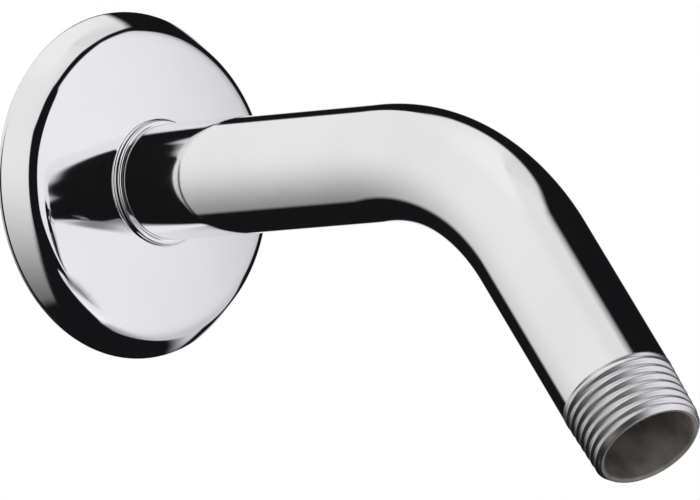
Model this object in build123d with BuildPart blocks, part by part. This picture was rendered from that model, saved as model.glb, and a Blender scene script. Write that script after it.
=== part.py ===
import os
from math import cos, radians, sin, tan

from build123d import *

# A bent shower arm with its push-on wall flange, in millimetres.
# The origin is where the arm's axis crosses the finished wall, +X points out of the wall and +Z up.

# Pipe
pipe_od = 21.34             # half-inch iron pipe size
pipe_bore = 17.4
wall_insert = 13.5          # arm behind the face of the wall
straight_run = 70.0         # face of the wall to the start of the bend
bend_radius = 50.8          # of the centre line
bend_angle = 50.0           # degrees below the straight run
leg_length = 46.6           # end of the bend to the outlet face

# Pipe threads at the two ends, each held as a plain band at its mean crest diameter
thread_od = 20.94
thread_length = 12.7
thread_end_chamfer = 1.0
bore_end_chamfer = 0.35
trim_radius = pipe_od       # outer limit of the cut that bares the band, well clear of the pipe

# Pressed wall flange
flange_od = 63.5            # rim against the wall
flange_sheet = 0.7          # thickness of the pressed sheet
rim_height = 0.6            # short upright rim under the sloping band
band_top_od = 55.7          # where the sloping band would meet the face, before rounding
band_height = 6.6           # wall to that meeting line
face_height = 8.85          # wall to the foot of the collar, so that the face is a shallow cone
collar_length = 1.25        # foot to front of the collar
edge_radius = 4.0           # rounding between band and face
collar_lip_chamfer = 0.35
collar_clearance = 0.07     # radial running clearance of the collar on the pipe

# Centre line of the arm, in the XZ plane: a straight run, one bend and a straight leg
bend_plane = Plane.YZ.offset(straight_run)
bend_axis = Axis((straight_run, 0, -bend_radius), (0, 1, 0))
bend_tangent = bend_radius * tan(radians(bend_angle) / 2)
leg_direction = Vector(cos(radians(bend_angle)), 0, -sin(radians(bend_angle)))
outlet_centre = Vector(straight_run + bend_tangent, 0, 0) + leg_direction * (bend_tangent + leg_length)

# End planes, each facing out of the pipe
inlet_plane = Plane((-wall_insert, 0, 0), x_dir=(0, 1, 0), z_dir=(-1, 0, 0))
outlet_plane = Plane(outlet_centre, x_dir=(0, 1, 0), z_dir=leg_direction)

# One drawn and bent pipe, threaded at both ends
with BuildPart() as shower_arm:
    with BuildSketch(bend_plane) as pipe_section:
        Circle(pipe_od / 2)
        Circle(pipe_bore / 2, mode=Mode.SUBTRACT)
    extrude(amount=-(wall_insert + straight_run))
    revolve(pipe_section.sketch, axis=bend_axis, revolution_arc=bend_angle)
    with BuildSketch(outlet_plane):
        Circle(pipe_od / 2)
        Circle(pipe_bore / 2, mode=Mode.SUBTRACT)
    extrude(amount=-leg_length)
    for end_plane in (inlet_plane, outlet_plane):
        with BuildSketch(end_plane):
            Circle(trim_radius)
            Circle(thread_od / 2, mode=Mode.SUBTRACT)
        extrude(amount=-thread_length, mode=Mode.SUBTRACT)
        end_axis = Axis(end_plane.origin, end_plane.z_dir)
        end_edges = shower_arm.faces().sort_by(end_axis)[-1].edges().sort_by(SortBy.RADIUS)
        chamfer(end_edges[-1], length=thread_end_chamfer)
        end_edges = shower_arm.faces().sort_by(end_axis)[-1].edges().sort_by(SortBy.RADIUS)
        chamfer(end_edges[0], length=bore_end_chamfer)

# One pressed cover: upright rim, sloping band, rounded edge, shallow cone and a collar round the pipe
collar_bore_radius = pipe_od / 2 + collar_clearance
collar_radius = collar_bore_radius + flange_sheet
rim_overrun = 2 * flange_sheet      # drawn past the wall plane, then trimmed flat

with BuildPart() as wall_flange:
    with BuildSketch(Plane.XZ):
        with BuildLine():
            skin = FilletPolyline(
                (-rim_overrun, flange_od / 2),
                (rim_height, flange_od / 2),
                (band_height, band_top_od / 2),
                (face_height, collar_radius),
                (face_height + collar_length, collar_radius),
                radius=[0, edge_radius, 0],
            )
            offset(skin, amount=flange_sheet, side=Side.RIGHT, kind=Kind.INTERSECTION)
        make_face()
    revolve(axis=Axis.X)
    split(bisect_by=Plane.YZ, keep=Keep.TOP)
    collar_front = wall_flange.faces().sort_by(Axis.X)[-1]
    chamfer(collar_front.edges().sort_by(SortBy.RADIUS)[-1], length=collar_lip_chamfer)

os.makedirs("parts", exist_ok=True)
shower_arm.part.label = "shower_arm"
export_step(shower_arm.part, "parts/shower_arm.step")
wall_flange.part.label = "wall_flange"
export_step(wall_flange.part, "parts/wall_flange.step")
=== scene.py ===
import math

import bpy
import numpy as np
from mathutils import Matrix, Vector


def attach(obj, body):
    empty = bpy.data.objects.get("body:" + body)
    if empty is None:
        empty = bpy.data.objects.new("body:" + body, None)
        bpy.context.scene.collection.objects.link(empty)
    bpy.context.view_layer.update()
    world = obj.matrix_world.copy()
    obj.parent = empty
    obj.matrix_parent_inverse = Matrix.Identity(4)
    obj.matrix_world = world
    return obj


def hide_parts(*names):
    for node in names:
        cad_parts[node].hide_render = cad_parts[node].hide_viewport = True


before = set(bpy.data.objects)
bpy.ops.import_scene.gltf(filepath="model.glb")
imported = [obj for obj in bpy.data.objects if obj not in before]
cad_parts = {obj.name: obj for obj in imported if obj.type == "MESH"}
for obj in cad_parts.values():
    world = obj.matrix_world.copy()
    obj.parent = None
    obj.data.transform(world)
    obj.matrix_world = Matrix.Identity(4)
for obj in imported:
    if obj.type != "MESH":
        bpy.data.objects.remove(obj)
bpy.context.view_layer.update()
print("frame loaded:", sorted(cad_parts))

mm = 0.001
hair = 0.02                     # mm between two rows that keep the shading crisp at an edge
white = (1, 1, 1, 1)


def addObject(name, data):
    made = bpy.data.objects.new(name, data)
    bpy.context.scene.collection.objects.link(made)
    return made


# Joins a grid of points (rows by columns by xyz) into quads. The last row and column run on into the first,
# so the surface closes both ways. Marks are values that the points carry for the materials.
def gridMesh(name, points, marks=None):
    rows, columns = points.shape[:2]
    here = np.arange(rows * columns).reshape(rows, columns)
    nextRow = np.roll(here, -1, axis=0)
    quads = np.stack([here, np.roll(here, -1, axis=1), np.roll(nextRow, -1, axis=1), nextRow], axis=-1)
    quads = quads.reshape(-1, 4)
    mesh = bpy.data.meshes.new(name)
    mesh.vertices.add(rows * columns)
    mesh.vertices.foreach_set("co", points.reshape(-1).astype(np.float32))
    mesh.loops.add(quads.size)
    mesh.loops.foreach_set("vertex_index", quads.reshape(-1).astype(np.int32))
    mesh.polygons.add(len(quads))
    mesh.polygons.foreach_set("loop_start", np.arange(0, quads.size, 4, dtype=np.int32))
    mesh.update(calc_edges=True)
    mesh.shade_smooth()
    for mark, values in (marks or {}).items():
        attribute = mesh.attributes.new(mark, "FLOAT", "POINT")
        attribute.data.foreach_set("value", values.reshape(-1).astype(np.float32))
    return addObject(name, mesh)


# Rises from 0 to 1 between low and high with level ends: three squares less two cubes of the share covered.
def softStep(value, low, high):
    t = np.clip((value - low) / (high - low), 0, 1)
    return t * t * (3 - 2 * t)


# Shader maths: a wrapped socket that adds a Math node for each operator.
class Wire:
    def __init__(self, tree, socket=None):
        self.tree = tree
        self.socket = socket

    # Any node: its type, its settings, then the values or links of its sockets.
    def node(self, kind, settings=None, sockets=None, output=0):
        made = self.tree.nodes.new("ShaderNode" + kind)
        for name, value in (settings or {}).items():
            setattr(made, name, value)
        for key, value in (sockets or {}).items():
            if isinstance(value, Wire):
                self.tree.links.new(value.socket, made.inputs[key])
            else:
                made.inputs[key].default_value = value
        return Wire(self.tree, made.outputs[output] if len(made.outputs) else None)

    def maths(self, operation, *values):
        return self.node("Math", {"operation": operation}, dict(enumerate(values)))

    def __add__(self, other):
        return self.maths("ADD", self, other)

    def __radd__(self, other):
        return self.maths("ADD", other, self)

    def __sub__(self, other):
        return self.maths("SUBTRACT", self, other)

    def __rsub__(self, other):
        return self.maths("SUBTRACT", other, self)

    def __mul__(self, other):
        return self.maths("MULTIPLY", self, other)

    def __rmul__(self, other):
        return self.maths("MULTIPLY", other, self)

    # From 0 below the middle to 1 above it, over half a width each side.
    def rise(self, middle, half):
        return self.node("MapRange", {"interpolation_type": "SMOOTHSTEP"},
                         {0: self, 1: middle - half, 2: middle + half})

    def fall(self, middle, half):
        return 1 - self.rise(middle, half)

    # 1 between the two ends and 0 outside, each end softened by its own half width.
    def band(self, low, high, lowHalf, highHalf):
        return self.rise(low, lowHalf) * self.fall(high, highHalf)

    # An amount that comes in over a rise, or stands over a band where four ends are given.
    def step(self, amount, *ends):
        return amount * (self.rise(*ends) if len(ends) == 2 else self.band(*ends))

    def dot(self, axis):
        return self.node("VectorMath", {"operation": "DOT_PRODUCT"}, {0: self, 1: axis}, output="Value")

    def noise(self, scale, detail):
        return self.node("TexNoise", None, {"Vector": self, "Scale": scale, "Detail": detail})

    def blend(self, first, second, share):
        return self.node("Mix", {"data_type": "RGBA"}, {0: share, 6: first, 7: second}, output=2)

    def tinted(self, tint):
        return self.node("VectorMath", {"operation": "SCALE"}, {0: tint, "Scale": self})


# The bare node tree of a new material or world.
def emptyTree(owner):
    owner.use_nodes = True
    owner.node_tree.nodes.clear()
    return Wire(owner.node_tree)


# The arm: one drawn pipe with a straight run, a bend and a leg, and a tapered pipe thread at each end, in mm.
armShape = {
    "radius": 10.67,
    "bore": 8.7,
    "wallInsert": 13.5,
    "straightRun": 70.0,
    "bendRadius": 50.8,
    "bendAngle": 50.0,
    "legLength": 46.6,
    "threadLength": 12.7,
    "threadPitch": 1.814,
    "threadDepth": 0.55,
    "threadTaper": 1 / 32,      # on the radius
    "runOutTurns": 1.1,         # over which the thread fades before its shoulder
    "runOutEnd": 0.05,          # full radius again this far before the shoulder
    "endRadius": 9.47,          # at the foot of the 45 degree lead-in
    "boreEase": 0.35,
    "faceDull": 0.2,            # share of the bore's finish on the end faces
    "columns": 192,
    "threadRows": 132,
    "skinRows": (30, 66, 14),   # straight, bend and leg
    "skinGap": 0.4,             # shoulder to the first of these rows
    "boreRows": (5, 30, 6),     # leg, bend and straight
    "boreGap": 6.0,             # from as deep as the thread to the first of these rows
    "boreMouth": 1.5,           # depth of one more row near each end
}


# Carries a ring along the centre line. The run s bends by s over the bend radius between its two straights, so
# x adds up the straight, the bend's sine and the leg's cosine, and z the bend's cosine and the leg's sine.
def alongArm(s, radius, turn, shape):
    full = math.radians(shape["bendAngle"])
    into = np.clip((s - shape["straightRun"]) / shape["bendRadius"], 0, full)
    onLeg = np.maximum(s - shape["straightRun"] - shape["bendRadius"] * full, 0)
    x = np.minimum(s, shape["straightRun"]) + shape["bendRadius"] * np.sin(into) + onLeg * math.cos(full)
    z = -shape["bendRadius"] * (1 - np.cos(into)) - onLeg * math.sin(full)
    side = radius * np.cos(turn)
    lift = radius * np.sin(turn)
    return np.stack([x + lift * np.sin(into), side, z + lift * np.cos(into)], axis=-1)


# Skin radius at a distance from the pipe's end: the taper's crest less a rounded groove that follows the helix,
# running out at the shoulder and cut back by the lead-in at the end.
def threadSkin(fromEnd, turn, hand, shape):
    toShoulder = shape["threadLength"] - fromEnd
    crest = shape["radius"] - toShoulder * shape["threadTaper"]
    wave = 0.5 - 0.5 * np.cos(2 * np.pi * (fromEnd / shape["threadPitch"] + hand * turn / (2 * np.pi)))
    groove = softStep(wave, 0, 1)
    runOut = softStep(toShoulder, shape["runOutEnd"], shape["runOutTurns"] * shape["threadPitch"])
    leadIn = shape["endRadius"] + fromEnd
    return np.minimum(crest - shape["threadDepth"] * groove * runOut, leadIn)


# Each row is a ring with its place on the centre line and its radius. The rows run along the skin from inlet to
# outlet, over the outlet's face, back through the bore and over the inlet's face, where they meet the first.
def buildArm(shape):
    firstS = -shape["wallInsert"]
    bendStart = shape["straightRun"]
    bendEnd = bendStart + shape["bendRadius"] * math.radians(shape["bendAngle"])
    lastS = bendEnd + shape["legLength"]
    length, gap, deep = shape["threadLength"], shape["skinGap"], shape["threadLength"] + shape["boreGap"]
    turn = np.linspace(0, 2 * np.pi, shape["columns"], endpoint=False)[None, :]

    fromEnd = np.linspace(0, length, shape["threadRows"])
    runRows, bendRows, legRows = shape["skinRows"]
    plain = np.concatenate([
        [firstS + length + hair],
        np.linspace(firstS + length + gap, bendStart, runRows),
        np.linspace(bendStart, bendEnd, bendRows)[1:-1],
        np.linspace(bendEnd, lastS - length - gap, legRows),
        [lastS - length - hair],
    ])
    ease, bore = shape["boreEase"], shape["bore"]
    face = np.array([shape["endRadius"] - hair, bore + ease + hair, bore + ease])
    mouth = np.array([ease, ease + hair, shape["boreMouth"], length])
    legRows, bendRows, runRows = shape["boreRows"]
    boreRun = np.concatenate([
        lastS - mouth,
        np.linspace(lastS - deep, bendEnd, legRows),
        np.linspace(bendEnd, bendStart, bendRows)[1:-1],
        np.linspace(bendStart, firstS + deep, runRows),
        firstS + mouth[::-1],
    ])

    allTurns = np.ones((1, shape["columns"]))
    radius = np.concatenate([
        threadSkin(fromEnd[:, None], turn, 1, shape),
        shape["radius"] * np.ones((len(plain), 1)) * allTurns,
        threadSkin(fromEnd[::-1][:, None], turn, -1, shape),
        face[:, None] * allTurns,
        bore * np.ones((len(boreRun), 1)) * allTurns,
        face[::-1][:, None] * allTurns,
    ])
    s = np.concatenate([
        firstS + fromEnd,
        plain,
        lastS - fromEnd[::-1],
        np.full(len(face), lastS),
        boreRun,
        np.full(len(face), firstS),
    ])[:, None]

    # the bore's finish begins at its eased edge, the last row of each face
    skinRows = 2 * len(fromEnd) + len(plain)
    inside = np.zeros_like(radius)
    inside[skinRows:] = shape["faceDull"]
    inside[skinRows + len(face) - 1:1 - len(face)] = 1.0
    cut = np.zeros_like(radius)
    cut[:len(fromEnd)] = 1.0
    cut[skinRows - len(fromEnd):skinRows] = 1.0
    points = alongArm(s, radius, turn, shape) * mm
    return gridMesh("armPipe", points, {"bore": inside, "thread": cut})


armPipe = buildArm(armShape)
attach(armPipe, "arm")
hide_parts("shower_arm")
print("arm:", len(armPipe.data.polygons), "quads")


# The flange: one pressed sheet, drawn as arcs that run into each other from the rim to the collar, in mm.
flangeShape = {
    "rimRadius": 31.75,
    "rimAngle": 112.0,          # of the skin's normal from the arm's axis, where the rim meets the wall
    "arcs": [                   # radius, angle at the end, rows
        (1.0, 61.0, 10),        # turned-in rim
        (36.0, 53.0, 20),       # sloping band
        (4.0, 16.0, 26),        # rounded edge
        (13.0, 10.5, 14),       # shoulder
        (None, 5.0, 30),        # crowned face, fitted to reach the collar
    ],
    "footRadius": 0.5,
    "footRows": 12,
    "lipRadius": 0.45,
    "lipRows": 10,
    "collarRadius": 11.44,
    "collarBore": 10.74,
    "front": 10.1,
    "sheet": 0.7,
    "columns": 288,
}


# Section of the skin as x, radius and normal angle. Each arc starts where the last one ended, with its normal.
# It adds its radius times the change in the normal's cosine to x, and the same with the sine to the radius.
def flangeSkin(shape):
    angle = math.radians(shape["rimAngle"])
    foot = shape["footRadius"]
    x, r = 0.0, None
    rows = []
    for radius, end, count in shape["arcs"]:
        end = math.radians(end)
        if r is None:
            r = shape["rimRadius"] - radius * (1 - math.sin(angle))
        if radius is None:
            reach = shape["collarRadius"] + foot * (1 - math.sin(end))
            radius = (r - reach) / (math.sin(angle) - math.sin(end))
        normal = np.linspace(angle, end, count)
        arc = np.stack([x + radius * (np.cos(normal) - math.cos(angle)),
                        r + radius * (np.sin(normal) - math.sin(angle)), normal], axis=-1)
        rows.append(arc[1:] if rows else arc)
        x, r, angle = arc[-1]
    normal = np.linspace(angle, np.pi / 2, shape["footRows"])[1:]
    rows.append(np.stack([x - foot * (np.cos(normal) - math.cos(angle)),
                          r - foot * (np.sin(normal) - math.sin(angle)), normal], axis=-1))
    return np.concatenate(rows)


# The section goes along the skin, over the lip and into the bore, and back a sheet's thickness inside the skin.
# It is turned round the arm's axis: y is its radius times the turn's cosine, and z times the sine.
def buildFlange(shape):
    skin = flangeSkin(shape)
    front, lip, bore = shape["front"], shape["lipRadius"], shape["collarBore"]
    normal = np.linspace(np.pi / 2, 0, shape["lipRows"])
    lipRows = np.stack([front - lip + lip * np.cos(normal),
                        shape["collarRadius"] - lip + lip * np.sin(normal)], axis=-1)
    boreRows = np.array([[front, bore + hair], [front, bore], [front - hair, bore]])
    inner = skin[:, :2] - shape["sheet"] * np.stack([np.cos(skin[:, 2]), np.sin(skin[:, 2])], axis=-1)
    inner[:, 0] = np.maximum(inner[:, 0], 0)
    wallRows = np.array([[0, inner[0, 1] + hair], [0, skin[0, 1] - hair]])
    section = np.concatenate([skin[:, :2], lipRows, boreRows, inner[::-1], wallRows])
    turn = np.linspace(0, 2 * np.pi, shape["columns"], endpoint=False)[None, :]
    x = section[:, :1] * np.ones_like(turn)
    points = np.stack([x, section[:, 1:] * np.cos(turn), section[:, 1:] * np.sin(turn)], axis=-1)
    return gridMesh("flangePressing", points * mm)


flangePressing = buildFlange(flangeShape)
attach(flangePressing, "flange")
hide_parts("wall_flange")
print("flange:", len(flangePressing.data.polygons), "quads")


# Polished chrome: a near-white metal whose tone and gloss drift a little over the surface. The pipe's bore is a
# dull, stained film, and its threads are rougher.
chromeLook = {
    "pale": (0.90, 0.90, 0.907, 1),
    "deep": (0.865, 0.865, 0.873, 1),
    "gloss": 0.030,
    "glossDrift": 0.025,
    "driftScale": 55.0,
    "driftDetail": 2.0,
    "driftEdge": (0.5, 0.25),
    "threadRough": 0.29,
    "borePale": (0.36, 0.325, 0.305, 1),
    "boreDark": (0.15, 0.132, 0.12, 1),
    "boreRough": 0.55,
    "boreFilm": 0.75,           # share of the metal that the film hides
    "stainScale": 110.0,
    "stainDetail": 3.0,
    "stainEdge": (0.5, 0.16),
    "stainGloss": 0.25,
}


def chromeFinish(name, look, withBore):
    material = bpy.data.materials.new(name)
    wire = emptyTree(material)
    place = wire.node("TexCoord", output="Object")
    drift = place.noise(look["driftScale"], look["driftDetail"])
    colour = wire.blend(look["deep"], look["pale"], drift.rise(*look["driftEdge"]))
    rough = look["gloss"] + look["glossDrift"] * drift
    metal = 1.0
    if withBore:
        inside = wire.node("Attribute", {"attribute_name": "bore"}, output="Fac")
        cut = wire.node("Attribute", {"attribute_name": "thread"}, output="Fac")
        stain = place.noise(look["stainScale"], look["stainDetail"])
        film = wire.blend(look["boreDark"], look["borePale"], stain.rise(*look["stainEdge"]))
        colour = wire.blend(colour, film, inside)
        dull = look["boreRough"] - look["stainGloss"] * stain
        rough = rough + inside * dull + look["threadRough"] * cut
        metal = 1 - look["boreFilm"] * inside
    shader = wire.node("BsdfPrincipled", None, {"Base Color": colour, "Roughness": rough, "Metallic": metal})
    wire.node("OutputMaterial", None, {"Surface": shader})
    return material


armPipe.data.materials.append(chromeFinish("polishedPipe", chromeLook, True))
flangePressing.data.materials.append(chromeFinish("polishedFlange", chromeLook, False))
print("finishes on")


# Studio: a white sweep with soft panels at both sides and overhead, and dark cards between them for the chrome.
# Panels are laid out in degrees, by bearing from the camera's own, growing to the picture's right, and height.
# An edge is its middle and half its soft width, and a step is its amount and then its edge, or a band's ends.
studio = {
    "azimuth": 48.18,           # of the camera round the object
    "elevation": -4.16,
    "distance": 2.5,
    "target": (0.06016, 0.0, -0.0151),
    "focalPixels": 13932,
    "imageWidth": 700,
    "sensorWidth": 36.0,
    "clipEnd": 100.0,
    "plainLevel": 0.75,         # light on dull surfaces
    "card": (0.008, 0.008, 0.009, 1),
    "sweepBearings": (168, 192, 3, 3),
    "sweepHeights": (-10, 18, 3, 3),
}

rightWall = {
    "tint": (1.0, 0.99, 1.025),
    "level": 0.91,
    "dimmerBack": (0.30, 98, 28),
    "middle": 4,                # height from which its head and foot brighten
    "brighterEnds": (0.10, 48, 5),
    "upperShade": (0.45, 10, 20),
    "upperShadeFrom": (108, 14),
    "lowerShade": 0.55,
    "lowerShadeTop": (-50, 14),
    "lowerShadeFrom": (72, 8),
    "near": (23.5, 2),
    "nearLeans": ((18, 22, 40, 14, 12), (24, -33, -17, 5, 9)),
    "far": (164, 5),
    "farCuts": ((46, -14, 6), (12, 42, 8)),
    "corner": (188, 5),
    "cornerSlope": 1.15,
    "head": (55, 4),
    "headSlope": 0.42,
    "headBend": 72,             # bearing short of which the head slopes down
    "foot": (-67, 4),
    "footSlope": 0.5,
    "footBend": 75,
    "spot": (0.7, -62, -51, 5, 4),
    "spotSlope": 0.577,
    "spotBearings": (36, 66, 6, 6),
}


# The near edge leans away over two bands of height, the far edge runs further back below the horizon, head and
# foot close in towards the near edge, and a grey spot crosses the lower part.
def wallPanel(wire, look, bearing, height):
    near = (bearing - sum(height.step(*lean) for lean in look["nearLeans"])).rise(*look["near"])
    far = (bearing + sum(height.step(*cut) for cut in look["farCuts"])).fall(*look["far"])
    corner = (bearing - look["cornerSlope"] * height).fall(*look["corner"])
    headDrop = look["headSlope"] * wire.maths("MAXIMUM", look["headBend"] - bearing, 0.0)
    head = (height + headDrop).fall(*look["head"])
    footLift = look["footSlope"] * wire.maths("MAXIMUM", look["footBend"] - bearing, 0.0)
    foot = (height - footLift).rise(*look["foot"])
    spot = (height - look["spotSlope"] * bearing).step(*look["spot"]) * bearing.band(*look["spotBearings"])
    fromMiddle = wire.maths("ABSOLUTE", height - look["middle"])
    level = look["level"] - bearing.step(*look["dimmerBack"]) + fromMiddle.step(*look["brighterEnds"])
    upper = height.step(*look["upperShade"]) * bearing.rise(*look["upperShadeFrom"])
    lower = look["lowerShade"] * height.fall(*look["lowerShadeTop"]) * bearing.rise(*look["lowerShadeFrom"])
    tone = level * (1 - upper) * (1 - lower)
    return tone.tinted(look["tint"]), near * far * corner * foot * head * (1 - spot)


leftBank = {
    "tint": (1.005, 0.995, 1.005),
    "dimmest": 0.12,
    "light": (0.74, 10.2, 46),
    "lightSlope": 0.14,
    "start": (231, 4),          # round the back, so bearings here go from 0 to 360
    "startSteps": ((-8, -12, 12), (39, 12, 10)),
    "end": (338, 2),
    "foot": (-71, 4),
}


# It fades towards the floor and towards its far end, which reaches further back higher up.
def bankPanel(look, rear, height):
    level = look["dimmest"] + (height + look["lightSlope"] * rear).step(*look["light"])
    start = (rear + sum(height.step(*part) for part in look["startSteps"])).rise(*look["start"])
    return level.tinted(look["tint"]), start * rear.fall(*look["end"]) * height.rise(*look["foot"])


overhead = {
    "tint": (1.005, 0.995, 1.005),
    "level": 0.87,
    "brighterTop": (0.06, 66, 14),
    "dimmer": ((0.15, 80, 155, 25, 10), (0.10, -18, 80, 20, 25)),
    "edge": (50, 3),
    "edgeSteps": ((-30, -160, 8), (50, 0, 55), (-20, 140, 50), (5, -8, 9, 6, 6)),
}


# Its edge hangs low over the left bank and high over the right wall.
def overheadPanel(look, bearing, height):
    level = look["level"] + height.step(*look["brighterTop"])
    level = level - sum(bearing.step(*part) for part in look["dimmer"])
    lift = sum(bearing.step(*part) for part in look["edgeSteps"])
    return level.tinted(look["tint"]), (height - lift).rise(*look["edge"])


# A dark card at the far left, kept this far from the lines back along the pipe's run and leg.
sideCard = {
    "fromRun": (47, 2),
    "fromLeg": (63, 3),
    "bearings": (-125, -49, 4, 3),
}


# Bearing is the arctangent of a direction's two level parts, across the view and towards the camera, and height
# the arcsine of its upward part.
def studioLight(look, card):
    world = bpy.data.worlds.new("studio")
    bpy.context.scene.world = world
    wire = emptyTree(world)
    degrees = 180 / math.pi
    azimuth = math.radians(look["azimuth"])
    bend = math.radians(armShape["bendAngle"])
    direction = wire.node("TexCoord", output="Generated")
    across = direction.dot((math.cos(azimuth), math.sin(azimuth), 0))
    ahead = direction.dot((math.sin(azimuth), -math.cos(azimuth), 0))
    bearing = degrees * wire.maths("ARCTAN2", across, ahead)
    height = degrees * wire.maths("ARCSINE", direction.dot((0, 0, 1)))
    rear = wire.maths("WRAP", bearing, 360.0, 0.0)      # the bearing from 0 to 360

    colour = look["card"]
    for panel, mask in (wallPanel(wire, rightWall, bearing, height), bankPanel(leftBank, rear, height),
                        overheadPanel(overhead, bearing, height)):
        colour = wire.blend(colour, panel, mask)
    fromRun = degrees * wire.maths("ARCCOSINE", direction.dot((-1, 0, 0)))
    fromLeg = degrees * wire.maths("ARCCOSINE", direction.dot((-math.cos(bend), 0, math.sin(bend))))
    unseen = fromRun.rise(*card["fromRun"]) * fromLeg.rise(*card["fromLeg"]) * bearing.band(*card["bearings"])
    colour = wire.blend(colour, look["card"], unseen)

    # plain light on dull surfaces, and the white background, mirrored where the sweep stands behind the object
    kinds = ("Camera", "Diffuse", "Glossy", "Transmission")
    rays = {kind: wire.node("LightPath", output="Is " + kind + " Ray") for kind in kinds}
    plain = look["plainLevel"]
    colour = wire.blend(colour, (plain, plain, plain, 1), rays["Diffuse"])
    sweep = rear.band(*look["sweepBearings"]) * height.band(*look["sweepHeights"])
    seen = wire.maths("MAXIMUM", rays["Camera"], rays["Transmission"])
    colour = wire.blend(colour, white, wire.maths("MAXIMUM", seen, sweep * rays["Glossy"]))
    background = wire.node("Background", None, {"Color": colour, "Strength": 1.0})
    wire.node("OutputWorld", None, {"Surface": background})


studioLight(studio, sideCard)


# Pale floor under the object, open to a view from below.
floorShape = {
    "height": -0.26,
    "half": 4.0,
    "pale": (0.83, 0.83, 0.835, 1),
    "worn": (0.80, 0.80, 0.805, 1),
    "wearScale": 3.0,
    "wearDetail": 3.0,
    "rough": 0.9,
}


def buildFloor(shape):
    half, z = shape["half"], shape["height"]
    mesh = bpy.data.meshes.new("floor")
    corners = [(-half, -half, z), (half, -half, z), (half, half, z), (-half, half, z)]
    mesh.from_pydata(corners, [], [(0, 1, 2, 3)])
    floor = addObject("floor", mesh)
    material = bpy.data.materials.new("paleFloor")
    wire = emptyTree(material)
    place = wire.node("TexCoord", output="Object")
    colour = wire.blend(shape["worn"], shape["pale"], place.noise(shape["wearScale"], shape["wearDetail"]))
    matt = wire.node("BsdfPrincipled", None, {"Base Color": colour, "Roughness": shape["rough"]})
    under = wire.node("NewGeometry", output="Backfacing")
    shader = wire.node("MixShader", None, {0: under, 1: matt, 2: wire.node("BsdfTransparent")})
    wire.node("OutputMaterial", None, {"Surface": shader})
    mesh.materials.append(material)
    floor.visible_glossy = False
    return floor


floor = buildFloor(floorShape)

lampShape = {"place": (0.5, -0.6, 1.6), "size": 1.2, "watts": 9.0}
lampData = bpy.data.lights.new("softLamp", "AREA")
lampData.size = lampShape["size"]
lampData.energy = lampShape["watts"]
lamp = addObject("softLamp", lampData)
lamp.location = lampShape["place"]
lamp.rotation_euler = (Vector(studio["target"]) - lamp.location).to_track_quat("-Z", "Y").to_euler()
lamp.visible_glossy = False

turned = math.radians(studio["azimuth"])
climb = math.radians(studio["elevation"])
towards = Vector((math.sin(turned) * math.cos(climb), -math.cos(turned) * math.cos(climb), math.sin(climb)))
cameraData = bpy.data.cameras.new("photoCamera")
cameraData.sensor_width = studio["sensorWidth"]
cameraData.lens = studio["focalPixels"] / studio["imageWidth"] * cameraData.sensor_width
cameraData.clip_end = studio["clipEnd"]
camera = addObject("photoCamera", cameraData)
camera.location = Vector(studio["target"]) + studio["distance"] * towards
camera.rotation_euler = (-towards).to_track_quat("-Z", "Y").to_euler()
bpy.context.scene.camera = camera
bpy.context.scene.view_settings.view_transform = "Standard"
print("studio and camera set")
